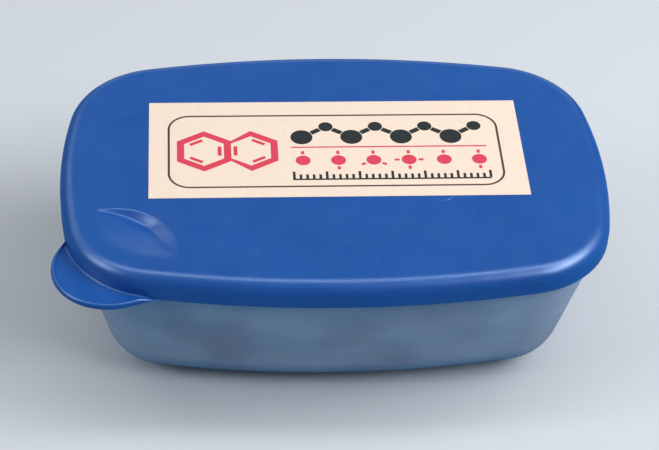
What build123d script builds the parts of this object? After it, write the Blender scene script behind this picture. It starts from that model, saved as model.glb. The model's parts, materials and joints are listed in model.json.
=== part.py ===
from build123d import *
import os
from math import acos, asin, atan2, cos, degrees, hypot, pi, radians, sin, sqrt, tan

# Molecular model kit: a milky snap-lid tub with a pull tab and a thumb dent on its lid, a paper label,
# and inside it ball atoms with sockets, push-in links, a link remover, a folded instruction sheet and
# one small model that has been put together. Millimetres, +Z up, origin at the middle of the tub's base.

# Plan outline of the lid, which every ring of the tub follows at its own inset
lid_length = 225.0
lid_width = 149.0
corner_radius = 39.5
end_bow = 2.5
side_bow = 6.2

# Lid
lid_top_z = 75.8
skirt_height = 11.3
lid_edge_radius = 6.2
lid_wall = 1.3
bead_reach = 0.2
bead_height = 1.2
bead_lift = 1.0
seal_wall = 1.2
seal_drop = 5.2
lid_gap = 0.3

# Pull tab at the front left corner: a round plate whose front edge runs straight into the skirt
tab_centre = (-91.7, -50.8)
tab_radius = 22.9
tab_tip = (-74.9, -69.1)
tab_tail = 4.0
tab_tail_radius = 8.0
tab_thickness = 1.5
tab_rim_height = 2.4
tab_rim_width = 1.5
tab_edge_radius = 0.6

# Thumb dent: a wall round an arc, and a floor that falls towards it from the lid's rounded corner
dent_centre = (-89.6, -52.3)
dent_radius = 25.5
dent_wall_lean = 50.0
dent_start_inset = 11.0
dent_slope = 10.0
dent_tool_depth = 8.0

# Ring that the moulding gate left on the lid, partly under the label
gate_ring_centre = (42.5, -19.0)
gate_ring_radius = 5.3
gate_ring_width = 0.6
gate_ring_depth = 0.12

# Tub
wall_inset = 3.3
wall_draft = 14.6
tub_wall = 1.5
tub_floor = 1.6
base_radius = 24.2
rim_hook = 2.4
rim_inner_blend = 0.6
foot_groove = (112.0, 46.0, 12.0)
foot_groove_width = 2.4
foot_groove_depth = 0.5
gate_radius = 3.0
gate_height = 0.25

# Label
label_size = (155.0, 61.4)
label_centre = (1.2, 9.5)
label_thickness = 0.15

# Atoms and links
big_radius = 11.5
small_radius = 8.5
seat_depth = 0.4
socket_radius = 2.0
socket_depth = 6.5
socket_lead = 0.35
peg_radius = 1.95
peg_length = 6.0
peg_chamfer = 0.4
barrel_radius = 2.6
barrel_waist = 2.25
barrel_length = 8.0
long_barrel_length = 27.0
long_collar_radius = 2.4
long_waist_radius = 1.8
collar_length = 2.0
collar_slope = 0.5
seat_gap = 0.1
piece_gap = 0.3

# Angles between sockets, in degrees
tetrahedral_angle = 109.47
water_angle = 105.0
ammonia_angle = 107.0

# Small model standing at the left end of the tub
model_spot = (-51.0, 4.0)
model_turn = 30.0
upper_turn = 60.0
rotor_clearance = 1.5

# Instruction sheet, folded into leaves and leaning on the back wall
sheet_length = 112.0
sheet_height = 42.0
sheet_leaf = 0.35
sheet_spread = 0.25
sheet_leaves = 3
sheet_bottom_z = 22.0
sheet_wall_gap = 0.6
sheet_space = 9.0

# Loose links on the floor: rows of short links, long links across them, the remover tool on top
link_pile = (36.0, 17.0)
link_rows = 5
link_columns = 2
long_link_count = 6
remover_size = (62.0, 13.0, 3.0)
remover_slot = (5.7, 10.0)
remover_hole_radius = 2.4
remover_edge_radius = 1.0

# Loose atoms in the order in which they are dropped in: kind, and the plan point each is let go over
drops = [
    ("carbon", -84, -30), ("carbon", -66, -42), ("oxygen", -40, -42), ("carbon", -17, -40),
    ("nitrogen", 7, -40), ("carbon", 31, -40), ("carbon", 54, -40), ("chlorine", 76, -30),
    ("carbon", -18, -14), ("hydrogen", 4, -18), ("hydrogen", 22, -18), ("carbon", 44, -16),
    ("hydrogen", 68, -8), ("carbon", 84, 8), ("oxygen", 70, 34), ("hydrogen", 62, 20),
    ("nitrogen", 24, 4), ("chlorine", 0, 32), ("carbon", -20, 36), ("hydrogen", -4, 8),
    ("hydrogen", -18, 16), ("hydrogen", -84, 32), ("hydrogen", -90, 6),
    ("carbon", -52, -44), ("hydrogen", -28, -34), ("nitrogen", -4, -34), ("oxygen", 20, -34),
    ("carbon", 44, -32), ("sulphur", 66, -30), ("hydrogen", -8, -4), ("hydrogen", 62, 12),
    ("carbon", 84, 26), ("hydrogen", 14, 30), ("oxygen", 57, -48), ("oxygen", -4, -48),
    ("carbon", 6, 14), ("chlorine", 44, 4),
]

# Values worked out from the ones above
half_length = lid_length / 2
half_width = lid_width / 2
corner_x = half_length - corner_radius - end_bow
corner_y = half_width - corner_radius - side_bow
end_radius = (corner_y**2 + end_bow**2) / (2 * end_bow)
side_radius = (corner_x**2 + side_bow**2) / (2 * side_bow)
end_centre = corner_x + end_bow - end_radius
side_centre = corner_y + side_bow - side_radius
end_half_angle = degrees(asin(corner_y / end_radius))
side_half_angle = degrees(asin(corner_x / side_radius))
skirt_z = lid_top_z - skirt_height
panel_z = lid_top_z - lid_wall
draft_slope = tan(radians(wall_draft))
rim_inset = lid_wall + lid_gap
rim_z = panel_z - lid_gap
rim_radius = lid_edge_radius - lid_wall - lid_gap
rim_bottom_z = rim_z - rim_radius - rim_hook
inner_inset = wall_inset + tub_wall
inner_base_radius = base_radius - tub_wall
big_seat = big_radius - seat_depth
small_seat = small_radius - seat_depth
overlap = 0.1


def outline(inset):
    """The lid's plan outline moved inwards: four bowed sides and four round corners on fixed centres."""
    corner = corner_radius - inset
    end = end_radius + corner
    side = side_radius + corner
    turn = 90 - end_half_angle - side_half_angle
    arcs = []
    for x_sign, y_sign, start in ((1, 1, 0), (-1, 1, 90), (-1, -1, 180), (1, -1, 270)):
        middle = (x_sign * corner_x, y_sign * corner_y)
        first = end_half_angle if x_sign == y_sign else side_half_angle
        arcs.append(CenterArc(middle, corner, start + first, turn))
    for x_sign, start in ((1, 0), (-1, 180)):
        arcs.append(CenterArc((x_sign * end_centre, 0), end, start - end_half_angle, 2 * end_half_angle))
    for y_sign, start in ((1, 90), (-1, 270)):
        arcs.append(CenterArc((0, y_sign * side_centre), side, start - side_half_angle, 2 * side_half_angle))
    return make_face(Wire.combine(arcs)[0])


def inset_at(x, y):
    """How far inside the lid's outline a plan point lies."""
    x, y = abs(x), abs(y)
    across_end = degrees(atan2(y, x - end_centre))
    across_side = degrees(atan2(x, y - side_centre))
    if across_end > end_half_angle and across_side > side_half_angle:
        return corner_radius - hypot(x - corner_x, y - corner_y)
    from_end = end_radius + corner_radius - hypot(x - end_centre, y)
    from_side = side_radius + corner_radius - hypot(x, y - side_centre)
    return min(from_end, from_side)


def slab(face, low, high):
    """A plan face pulled up from one height to another."""
    return extrude(Pos(0, 0, low) * face, high - low)


def ring(outer_inset, hole_inset, low, high):
    """A band between two insets of the outline."""
    return slab(outline(outer_inset), low, high) - slab(outline(hole_inset), low, high)


def domed_slab(inset, low, high, radius):
    """A slab with its top edge rounded."""
    body = slab(outline(inset), low, high)
    return fillet(body.edges().group_by(Axis.Z)[-1], radius)


def tapered_bowl(inset, floor_z, radius):
    """The drafted body of the tub, from the skirt's level down to a floor with a rounded edge."""
    body = extrude(Pos(0, 0, skirt_z) * outline(inset), skirt_z - floor_z, dir=(0, 0, -1), taper=wall_draft)
    return fillet(body.edges().group_by(Axis.Z)[0], radius)


def make_tub():
    """Bowl with an upright collar and a thick round rim under the lid, a foot ring and a gate mark."""
    tub = tapered_bowl(wall_inset, 0, base_radius) + slab(outline(wall_inset), skirt_z, rim_bottom_z + overlap)
    tub += domed_slab(rim_inset, rim_bottom_z, rim_z, rim_radius)
    tub -= tapered_bowl(inner_inset, tub_floor, inner_base_radius)
    tub -= slab(outline(inner_inset), skirt_z, lid_top_z)
    upper = [e for e in tub.edges() if (e @ 0.5).Z > rim_z - rim_inner_blend]
    mouth = [e for e in upper if abs(inset_at((e @ 0.5).X, (e @ 0.5).Y) - inner_inset) < overlap]
    tub = fillet(mouth, rim_inner_blend)
    length, width, corner = foot_groove
    groove = RectangleRounded(length, width, corner) - RectangleRounded(
        length - 2 * foot_groove_width, width - 2 * foot_groove_width, corner - foot_groove_width
    )
    tub -= slab(groove, 0, foot_groove_depth)
    return tub + slab(Circle(gate_radius), tub_floor - overlap, tub_floor + gate_height)


def tab_plan(inset):
    """Hull of the tab's disc and a small circle inside the lid, both on the line to the tab's tip."""
    to_tip = (tab_tip[0] - tab_centre[0], tab_tip[1] - tab_centre[1])
    turn = atan2(to_tip[1], to_tip[0]) - acos(tab_radius / hypot(*to_tip))
    out = (cos(turn), sin(turn))
    tail_x = tab_tip[0] - tab_tail * out[1] - tab_tail_radius * out[0]
    tail_y = tab_tip[1] + tab_tail * out[0] - tab_tail_radius * out[1]
    disc = Pos(*tab_centre) * Circle(tab_radius - inset)
    tail = Pos(tail_x, tail_y) * Circle(tab_tail_radius - inset)
    return make_hull(disc.edges() + tail.edges())


def make_tab():
    """Thin plate with a raised rim, before the lid's hollow cuts it off."""
    plate = slab(tab_plan(0), skirt_z, skirt_z + tab_rim_height)
    plate = fillet(plate.edges().group_by(Axis.Z)[-1], tab_edge_radius)
    return plate - slab(tab_plan(tab_rim_width), skirt_z + tab_thickness, lid_top_z)


def dent_form(grow):
    """The thumb dent's space, grown all round: above a cone on the lid's corner, inside a leaning one."""
    slope, lean = radians(dent_slope), radians(dent_wall_lean)
    fall = (corner_radius - dent_start_inset) * tan(slope) + grow / cos(slope)
    reach = fall / tan(slope)
    side = Polyline((0, 1), (0, -fall), (reach, 0), (reach, 1), close=True)
    floor = Pos(-corner_x, -corner_y, lid_top_z) * revolve(make_face(Plane.XZ * side), Axis.Z, 360)
    top = dent_radius + grow / cos(lean)
    foot = top - dent_tool_depth * tan(lean)
    wall = Pos(*dent_centre, lid_top_z - dent_tool_depth / 2) * Cone(foot, top, dent_tool_depth)
    return floor & (wall + slab(Pos(*dent_centre) * Circle(top), lid_top_z, lid_top_z + 1))


def dent_backing():
    """The lid's wall under the dent, where it hangs below the panel."""
    below = slab(Pos(*dent_centre) * Circle(2 * dent_radius), lid_top_z - dent_tool_depth, panel_z + overlap)
    return dent_form(lid_wall) & below


def make_lid():
    """Domed cap with the tab, a bead inside its skirt, a seal ring, the thumb dent and the gate ring."""
    lid = domed_slab(0, skirt_z, lid_top_z, lid_edge_radius) + make_tab()
    lid -= domed_slab(lid_wall, skirt_z, panel_z, lid_edge_radius - lid_wall)
    bead_z = skirt_z + bead_lift
    lid += ring(lid_wall - overlap, lid_wall + bead_reach, bead_z, bead_z + bead_height)
    seal_z = panel_z - seal_drop
    seal_inset = inner_inset + lid_gap
    lid += ring(seal_inset, seal_inset + seal_wall, seal_z, panel_z + overlap)
    lid += dent_backing()
    lid -= dent_form(0)
    mark = Circle(gate_ring_radius) - Circle(gate_ring_radius - gate_ring_width)
    return lid - slab(Pos(*gate_ring_centre) * mark, lid_top_z - gate_ring_depth, lid_top_z)


def make_label():
    """Paper label on the lid."""
    return slab(Pos(*label_centre) * Rectangle(*label_size), lid_top_z, lid_top_z + label_thickness)


def sheet_wall_y(z):
    """How far back the tub's inner wall is at the sheet's ends, at a height."""
    along_side = side_radius + corner_radius - inner_inset + draft_slope * (z - skirt_z)
    return side_centre + sqrt(along_side**2 - (sheet_length / 2) ** 2)


def make_sheet():
    """The instruction sheet: leaves that share one long fold, leaning on the back wall."""
    pitch = sheet_leaf + sheet_spread
    depth = sheet_leaves * pitch - sheet_spread
    corner = (Align.CENTER, Align.MIN, Align.MIN)
    sheet = Box(sheet_length, depth, sheet_leaf, align=corner)
    for k in range(sheet_leaves):
        sheet += Pos(0, k * pitch, 0) * Box(sheet_length, sheet_leaf, sheet_height, align=corner)
    back = sheet_wall_y(sheet_bottom_z) - sheet_wall_gap - depth
    return Pos(0, back, sheet_bottom_z) * Rot(X=-wall_draft) * sheet


def tetrahedron(first):
    """Four directions: one straight up and three spread round it, pointing down and out."""
    tilt = radians(tetrahedral_angle)
    turns = [radians(first + 120 * k) for k in range(3)]
    return [(0, 0, 1)] + [(sin(tilt) * cos(t), sin(tilt) * sin(t), cos(tilt)) for t in turns]


def pair(angle):
    """Two directions at an angle."""
    return [(0, 0, 1), (sin(radians(angle)), 0, cos(radians(angle)))]


def pyramid(angle):
    """Three directions at one angle to each other, even round the upright."""
    tilt = asin(2 / sqrt(3) * sin(radians(angle / 2)))
    return [(sin(tilt) * cos(2 * pi * k / 3), sin(tilt) * sin(2 * pi * k / 3), cos(tilt)) for k in range(3)]


# Radius and socket directions of each kind of atom
atom_kinds = {
    "carbon": (big_radius, tetrahedron(0)),
    "oxygen": (big_radius, pair(water_angle)),
    "nitrogen": (big_radius, pyramid(ammonia_angle)),
    "chlorine": (big_radius, [(0, 0, 1)]),
    "sulphur": (big_radius, pair(water_angle)),
    "hydrogen": (small_radius, [(0, 0, 1)]),
}


def make_atom(radius, directions):
    """A moulded ball with a flat seat and a blind socket in each bonding direction."""
    ball = Sphere(radius)
    up = (Align.CENTER, Align.CENTER, Align.MIN)
    socket = Pos(0, 0, -socket_depth) * Cylinder(socket_radius, socket_depth + 1, align=up)
    lead = Pos(0, 0, -socket_lead) * Cone(socket_radius, socket_radius + socket_lead, socket_lead, align=up)
    face = Cylinder(radius / 2, 1, align=up)
    for way in directions:
        seat = Vector(*way).normalized() * (radius - seat_depth)
        ball -= Plane(origin=seat, z_dir=way).location * (socket + lead + face)
    return ball


def make_link(barrel, collar_radius, waist_radius):
    """A turned push-in link about Z: a peg at each end and a barrel with a collar at each shoulder."""
    half = barrel / 2
    waist = half - collar_length - collar_slope
    end = half + peg_length
    upper = [
        (waist_radius, 0), (waist_radius, waist), (collar_radius, half - collar_length), (collar_radius, half),
        (peg_radius, half), (peg_radius, end - peg_chamfer), (peg_radius - peg_chamfer, end), (0, end), (0, 0),
    ]
    top = revolve(make_face(Plane.XZ * Polyline(*upper, close=True)), Axis.Z, 360)
    return top + Rot(X=180) * top


def short_link():
    return make_link(barrel_length, barrel_radius, barrel_waist)


def long_link():
    return make_link(long_barrel_length, long_collar_radius, long_waist_radius)


# Distances in the model that stands in the tub
carbon_gap = 2 * (big_seat + seat_gap) + barrel_length
hydrogen_gap = big_seat + small_seat + 2 * seat_gap + barrel_length
hydrogen_out = hydrogen_gap * sin(radians(tetrahedral_angle))
hydrogen_down = -hydrogen_gap * cos(radians(tetrahedral_angle))
lower_z = tub_floor + piece_gap + small_radius + hydrogen_down
upper_z = lower_z + carbon_gap


def model_hydrogens(centre_z, first, drop):
    """Centres of the three hydrogens on one carbon, a drop below it."""
    turns = [radians(first + 120 * k) for k in range(3)]
    x, y = model_spot
    return [(x + hydrogen_out * cos(t), y + hydrogen_out * sin(t), centre_z - drop) for t in turns]


def lower_hydrogens():
    return model_hydrogens(lower_z, model_turn, hydrogen_down)


def upper_hydrogens():
    return model_hydrogens(upper_z, model_turn + upper_turn, -hydrogen_down)


def model_parts():
    """Every piece of the model put together: two carbons, six hydrogens and seven links."""
    lower = (*model_spot, lower_z)
    upper = (*model_spot, upper_z)
    carbon = make_atom(big_radius, tetrahedron(model_turn))
    parts = {
        "model_carbon_lower": Pos(*lower) * carbon,
        "model_carbon_upper": Pos(*upper) * Rot(Z=2 * model_turn + upper_turn) * Rot(X=180) * carbon,
        "model_link_axis": Pos(*model_spot, (lower_z + upper_z) / 2) * short_link(),
    }
    ends = [(lower, place) for place in lower_hydrogens()] + [(upper, place) for place in upper_hydrogens()]
    for number, (start, place) in enumerate(ends, 1):
        way = (Vector(*place) - Vector(*start)).normalized()
        middle = Vector(*start) + way * (big_seat + seat_gap + barrel_length / 2)
        parts[f"model_link_{number}"] = Plane(origin=middle, z_dir=way).location * short_link()
        facing = Plane(origin=place, z_dir=way * -1).location
        parts[f"model_hydrogen_{number}"] = facing * make_atom(small_radius, [(0, 0, 1)])
    return parts


def bars():
    """Loose links and the remover as round-edged bars: (kind, x, y, z, half_x, half_y, radius)."""
    x0, y0 = link_pile
    placed = []
    row_step = 2 * barrel_radius + piece_gap
    half_short = barrel_length / 2 + peg_length
    half_long = long_barrel_length / 2 + peg_length
    column_step = 2 * (half_short + piece_gap)
    floor_z = tub_floor + piece_gap + barrel_radius
    for k in range(link_rows * link_columns):
        x = x0 + (k % link_columns - (link_columns - 1) / 2) * column_step
        y = y0 + (k // link_columns - (link_rows - 1) / 2) * row_step
        placed.append(("short_links", x, y, floor_z, half_short, 0.0, barrel_radius))
    second_z = floor_z + barrel_radius + piece_gap + long_collar_radius
    long_step = column_step / (long_link_count - 1) + piece_gap
    for k in range(long_link_count):
        x = x0 + (k - (long_link_count - 1) / 2) * long_step
        placed.append(("long_links", x, y0, second_z, 0.0, half_long, long_collar_radius))
    length, width, thickness = remover_size
    edge = thickness / 2
    third_z = second_z + long_collar_radius + piece_gap + edge
    placed.append(("link_remover", x0, y0, third_z, length / 2 - edge, width / 2 - edge, edge))
    return placed


def make_links(kind):
    """One kind of loose link, as separate solids."""
    link = long_link() if kind == "long_links" else short_link()
    lying = (Rot(X=90) if kind == "long_links" else Rot(Y=90)) * link
    return Compound(children=[Pos(x, y, z) * lying for name, x, y, z, *_ in bars() if name == kind])


def make_remover():
    """Flat tool with a fork that fits round a link's barrel and a hole to hang it by."""
    length, width, thickness = remover_size
    slot_width, slot_depth = remover_slot
    plan = SlotOverall(length, width)
    plan -= Pos(length / 2 - slot_depth / 2, 0) * Rectangle(slot_depth, slot_width)
    plan -= Pos(length / 2 - slot_depth, 0) * Circle(slot_width / 2)
    plan -= Pos(width / 2 - length / 2, 0) * Circle(remover_hole_radius)
    tool = slab(plan, -thickness / 2, thickness / 2)
    tool = chamfer(tool.edges().group_by(Axis.Z)[-1] + tool.edges().group_by(Axis.Z)[0], remover_edge_radius / 2)
    x, y, z = [bar[1:4] for bar in bars() if bar[0] == "link_remover"][0]
    return Pos(x, y, z) * tool


def tub_rest_height(x, y, radius):
    """Lowest height at which a ball's centre clears the tub's floor, round edge and leaning wall."""
    inset = inset_at(x, y)
    reach = radius + piece_gap
    wall_at_floor = inner_inset + draft_slope * (skirt_z - tub_floor)
    flat_inset = wall_at_floor + inner_base_radius * tan(radians((90 - wall_draft) / 2))
    beyond = flat_inset - inset
    spare = inner_base_radius - reach
    if beyond <= 0:
        return tub_floor + reach
    if beyond <= spare * cos(radians(wall_draft)):
        return tub_floor + inner_base_radius - sqrt(spare**2 - beyond**2)
    return skirt_z + (inner_inset + reach / cos(radians(wall_draft)) - inset) / draft_slope


def model_obstacles():
    """The standing model's lower parts as balls that others rest on, its links as strings of beads."""
    carbon = (*model_spot, lower_z)
    balls = [(*carbon, big_radius), (*model_spot, upper_z, big_radius)]
    for place in lower_hydrogens():
        balls.append((*place, small_radius))
        for share in (0.45, 0.55, 0.65):
            bead = [a + (b - a) * share for a, b in zip(carbon, place)]
            balls.append((*bead, barrel_radius))
    return balls


def is_barred(x, y, z, radius):
    """True where a ball would stand in the way of the model's turning upper half, or in the sheet."""
    turning = hydrogen_out + small_radius + rotor_clearance + radius
    under_turning = upper_z - barrel_radius - rotor_clearance - radius
    if hypot(x - model_spot[0], y - model_spot[1]) < turning and z > under_turning:
        return True
    sheet_front = sheet_wall_y(z) - sheet_space
    return abs(x) < sheet_length / 2 + radius and y + radius > sheet_front


def rest_height(x, y, radius, balls):
    """Height at which a ball let down at a plan point first touches anything."""
    height = tub_rest_height(x, y, radius)
    for bx, by, bz, other in balls:
        reach = radius + other + piece_gap
        apart = hypot(x - bx, y - by)
        if apart < reach:
            height = max(height, bz + sqrt(reach**2 - apart**2))
    for _, bx, by, bz, half_x, half_y, other in bars():
        reach = radius + other + piece_gap
        apart = hypot(max(0.0, abs(x - bx) - half_x), max(0.0, abs(y - by) - half_y))
        if apart < reach:
            height = max(height, bz + sqrt(reach**2 - apart**2))
    barred = is_barred(x, y, height, radius)
    return height + lid_length if barred else height


def settle(radius, x, y, balls):
    """Rolls a ball downhill from its drop point until it lies in a pocket, in ever smaller steps."""
    best = rest_height(x, y, radius, balls)
    step = 4.0
    while step > 0.02:
        ways = [k * pi / 8 for k in range(16)]
        tries = [(x + step * cos(way), y + step * sin(way)) for way in ways]
        low, low_x, low_y = min((rest_height(tx, ty, radius, balls), tx, ty) for tx, ty in tries)
        if low < best - 1e-4:
            best, x, y = low, low_x, low_y
        else:
            step /= 2
    return x, y, best


def loose_atoms():
    """Where every loose atom comes to rest: (name, kind, x, y, z)."""
    balls = model_obstacles()
    counts = dict.fromkeys(atom_kinds, 0)
    placed = []
    for kind, x, y in drops:
        radius = atom_kinds[kind][0]
        place = settle(radius, x, y, balls)
        balls.append((*place, radius))
        counts[kind] += 1
        placed.append((f"{kind}_{counts[kind]}", kind, *place))
    return placed


def atom_turn(index):
    """A different turn for each loose atom, in steps that don't come round again."""
    return Rot(X=137.5 * index, Y=222.5 * index, Z=99.0 * index)


def all_parts():
    """Every node's name and shape."""
    parts = {"tub": make_tub(), "lid": make_lid(), "label": make_label(), "instruction_sheet": make_sheet()}
    parts.update(model_parts())
    parts["short_links"] = make_links("short_links")
    parts["long_links"] = make_links("long_links")
    parts["link_remover"] = make_remover()
    for index, (name, kind, x, y, z) in enumerate(loose_atoms()):
        parts[name] = Pos(x, y, z) * atom_turn(index) * make_atom(*atom_kinds[kind])
    return parts


def main():
    os.makedirs("parts", exist_ok=True)
    for name, shape in all_parts().items():
        export_step(shape, f"parts/{name}.step")


if __name__ == "__main__":
    main()
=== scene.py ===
import json
import math

import bpy
import numpy as np
from mathutils import Matrix, Vector


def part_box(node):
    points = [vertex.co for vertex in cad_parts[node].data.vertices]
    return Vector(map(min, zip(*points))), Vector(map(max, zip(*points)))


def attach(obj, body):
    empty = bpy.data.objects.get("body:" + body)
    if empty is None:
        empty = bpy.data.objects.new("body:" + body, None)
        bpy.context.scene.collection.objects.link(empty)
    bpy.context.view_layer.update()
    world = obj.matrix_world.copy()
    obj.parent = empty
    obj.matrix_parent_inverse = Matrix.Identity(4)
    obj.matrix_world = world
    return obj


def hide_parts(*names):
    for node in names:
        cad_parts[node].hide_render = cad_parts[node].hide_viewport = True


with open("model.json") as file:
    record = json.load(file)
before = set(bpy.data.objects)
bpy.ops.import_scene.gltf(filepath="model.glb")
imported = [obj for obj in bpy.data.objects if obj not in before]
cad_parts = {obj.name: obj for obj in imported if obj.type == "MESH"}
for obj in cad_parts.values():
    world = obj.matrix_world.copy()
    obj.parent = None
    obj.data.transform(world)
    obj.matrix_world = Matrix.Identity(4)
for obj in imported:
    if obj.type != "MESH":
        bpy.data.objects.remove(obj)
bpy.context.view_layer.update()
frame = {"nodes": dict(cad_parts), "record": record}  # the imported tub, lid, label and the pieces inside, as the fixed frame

mm = 0.001
print("frame loaded:", len(frame["nodes"]), "nodes")


# Camera at the photograph's viewing angle, worked out for its 659 x 450 pixels

cameraView = {
    "azimuth": -5.08,        # degrees, to the left of straight on
    "elevation": 41.6,
    "roll": 2.73,
    "distance": 863.3,       # mm from the point looked at
    "target": (-4.41, -38.28, 75.77),
    "focalPixels": 2170.1,
    "imageWidth": 659,
    "sensor": 36,
    "clip": (0.01, 20.0),    # metres
}


def makeCamera(cfg):
    # back points at the camera, level lies flat and above is their cross product; the roll turns these two
    azimuth, elevation, roll = (math.radians(cfg[k]) for k in ("azimuth", "elevation", "roll"))
    back = np.array([math.sin(azimuth) * math.cos(elevation), -math.cos(azimuth) * math.cos(elevation),
                     math.sin(elevation)])
    level = np.array([math.cos(azimuth), math.sin(azimuth), 0.0])
    above = np.cross(back, level)
    right = level * math.cos(roll) + above * math.sin(roll)
    up = above * math.cos(roll) - level * math.sin(roll)
    data = bpy.data.cameras.new("photoCamera")
    data.sensor_width = cfg["sensor"]
    data.sensor_fit = "HORIZONTAL"
    data.lens = cfg["focalPixels"] * cfg["sensor"] / cfg["imageWidth"]
    data.clip_start, data.clip_end = cfg["clip"]
    camera = bpy.data.objects.new("photoCamera", data)
    place = np.array(cfg["target"]) + back * cfg["distance"]
    turned = np.eye(4)
    turned[:3, :3] = np.stack([right, up, back], axis=1)
    turned[:3, 3] = place * mm
    camera.matrix_world = Matrix(turned.tolist())
    bpy.context.scene.collection.objects.link(camera)
    bpy.context.scene.camera = camera


makeCamera(cameraView)
print("camera done")


# Material helpers: each adds a node or two

def linear(hexColour):
    # the screen's transfer curve undone for each channel, with full alpha
    channels = [int(hexColour[k:k + 2], 16) / 255 for k in (1, 3, 5)]
    return [c / 12.92 if c <= 0.04045 else ((c + 0.055) / 1.055) ** 2.4 for c in channels] + [1.0]


def node(tree, kind, sockets=(), **settings):
    # a node of the kind; sockets are pairs of an input and its value, or the output that feeds it
    made = tree.nodes.new("ShaderNode" + kind)
    for key, value in settings.items():
        setattr(made, key, value)
    for key, value in dict(sockets).items():
        if isinstance(value, bpy.types.NodeSocket):
            tree.links.new(value, made.inputs[key])
        else:
            made.inputs[key].default_value = value
    return made


def startMaterial(name):
    # an empty tree, and the place on the object that every texture reads
    material = bpy.data.materials.new(name)
    material.use_nodes = True
    tree = material.node_tree
    tree.nodes.clear()
    place = node(tree, "TexCoord").outputs["Object"]
    return material, tree, place


def camel(slotName):
    # words joined, each but the first with a capital
    first, *others = slotName.split("_")
    return first + "".join(word.capitalize() for word in others)


def calc(tree, operation, *values):
    return node(tree, "Math", dict(enumerate(values)), operation=operation).outputs[0]


usual = {"detail": 2, "roughness": 0.5, "stretch": (1, 1, 1), "most": 1, "levels": (0.3, 0.7)}


def noise(tree, place, cfg):
    # fractal noise with one feature about every "size" mm, read at the place stretched along its axes
    look = {**usual, **cfg}
    spot = node(tree, "Mapping", {"Vector": place, "Scale": look["stretch"]}).outputs["Vector"]
    return node(tree, "TexNoise", {
        "Vector": spot, "Scale": 1 / (look["size"] * mm), "Detail": look["detail"],
        "Roughness": look["roughness"],
    }).outputs["Fac"]


def span(tree, value, between, levels):
    # a straight line from the first level to the second, held at both ends
    return node(tree, "MapRange", {
        "Value": value, "From Min": levels[0], "From Max": levels[1], "To Min": between[0],
        "To Max": between[1],
    }).outputs["Result"]


def blendColours(tree, share, first, second):
    return node(tree, "Mix", {0: share, 6: first, 7: second}, data_type="RGBA").outputs[2]


def tinted(tree, place, colour, cfg):
    # a second colour over the first, by a share that rises from 0 to its most between two noise levels
    look = {**usual, **cfg}
    share = span(tree, noise(tree, place, look), (0, look["most"]), look["levels"])
    return blendColours(tree, share, colour, linear(look["colour"]))


def relief(tree, place, cfg, below):
    # a bump whose height is a noise times its depth in mm, laid over the bump below
    sockets = {"Height": noise(tree, place, cfg), "Distance": cfg["depth"] * mm, "Strength": 1.0, **below}
    return {"Normal": node(tree, "Bump", sockets).outputs["Normal"]}


def surface(name, cfg, shades, over=None):
    # the first shade, the second and the finish's tints over it in turn, then what else lies over them;
    # a roughness, fixed or drifting between two values, and bumps one on top of another
    material, tree, place = startMaterial(name)
    colour = linear(shades[0])
    for tint in ({**cfg["drift"], "colour": shades[1]}, *cfg.get("tints", ())):
        colour = tinted(tree, place, colour, tint)
    if over:
        colour = over(tree, place, colour)
    rough = cfg["rough"]
    if isinstance(rough, dict):
        rough = span(tree, noise(tree, place, rough), rough["between"], usual["levels"])
    skin = {}
    for bump in cfg.get("bumps", ()):
        skin = relief(tree, place, bump, skin)
    shader = node(tree, "BsdfPrincipled", {
        "Base Color": colour, "Roughness": rough, "IOR": cfg["refraction"], **skin, **cfg.get("more", {}),
    })
    node(tree, "OutputMaterial", {"Surface": shader.outputs[0]})
    return material


# Lid: soft blue low density polyethylene, injection moulded against a lightly textured tool, which
# gives the eye a silky sheen, slow drifts of shade and a few hairline scuffs from handling

lidFinish = {
    "shades": ("#0554A9", "#044EA2"),
    "drift": {"size": 38, "detail": 3},
    # hairline scuffs
    "tints": ({"colour": "#3F74C8", "size": 14, "detail": 6, "roughness": 0.7, "stretch": (1, 9, 1),
               "most": 0.35, "levels": (0.67, 0.74)},),
    "rough": {"between": (0.32, 0.385), "size": 9, "detail": 4},
    # a slow ripple under the tool texture's pips
    "bumps": ({"depth": 0.10, "size": 22, "detail": 1}, {"depth": 0.012, "size": 0.55, "detail": 1}),
    "refraction": 1.51,
    "more": {"Specular IOR Level": 1.8, "Specular Tint": linear("#C2DDFF")},
}
lidDust = {
    "colour": "#8FB2E6",
    "apart": 5.0,            # mm
    "most": 0.55,
    "fade": (0.033, 0.055),  # distances from a speck's middle, as shares of the way between specks
}


def dusted(tree, place, colour):
    # specks at the middles of scattered cells, which fade out with the distance
    cells = node(tree, "TexVoronoi", {"Vector": place, "Scale": 1 / (lidDust["apart"] * mm)})
    specks = span(tree, cells.outputs["Distance"], (lidDust["most"], 0), lidDust["fade"])
    return blendColours(tree, specks, colour, linear(lidDust["colour"]))


# Tub: natural polyethylene with no pigment, moulded smooth, which gives a milky haze and shallow flow
# streaks that fan out over the sides; the colour of what lies against the wall is painted on as tints

tubFinish = {
    "shades": ("#F0F3F8", "#DEE3EC"),
    "drift": {"size": 26, "detail": 4, "roughness": 0.55, "stretch": (0.5, 0.5, 1.6)},
    # painted see-through, not the plastic's colour: darker and pink patches spread by noise stand in for
    # dark and red pieces behind the wall
    "tints": ({"colour": "#B9C0CE", "size": 31, "roughness": 0.45, "most": 0.5, "levels": (0.46, 0.68)},
              {"colour": "#DFC4CF", "size": 30, "detail": 1, "roughness": 0.4, "stretch": (1, 1, 1.2),
               "most": 0.4, "levels": (0.54, 0.74)}),
    "rough": 0.34,
    "bumps": ({"depth": 0.12, "size": 17},),
    "refraction": 1.51,
    "more": {"Transmission Weight": 0.33},
}


# Paper: machine finished and uncoated, which gives a dry surface with a faint mottle of fibres

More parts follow.
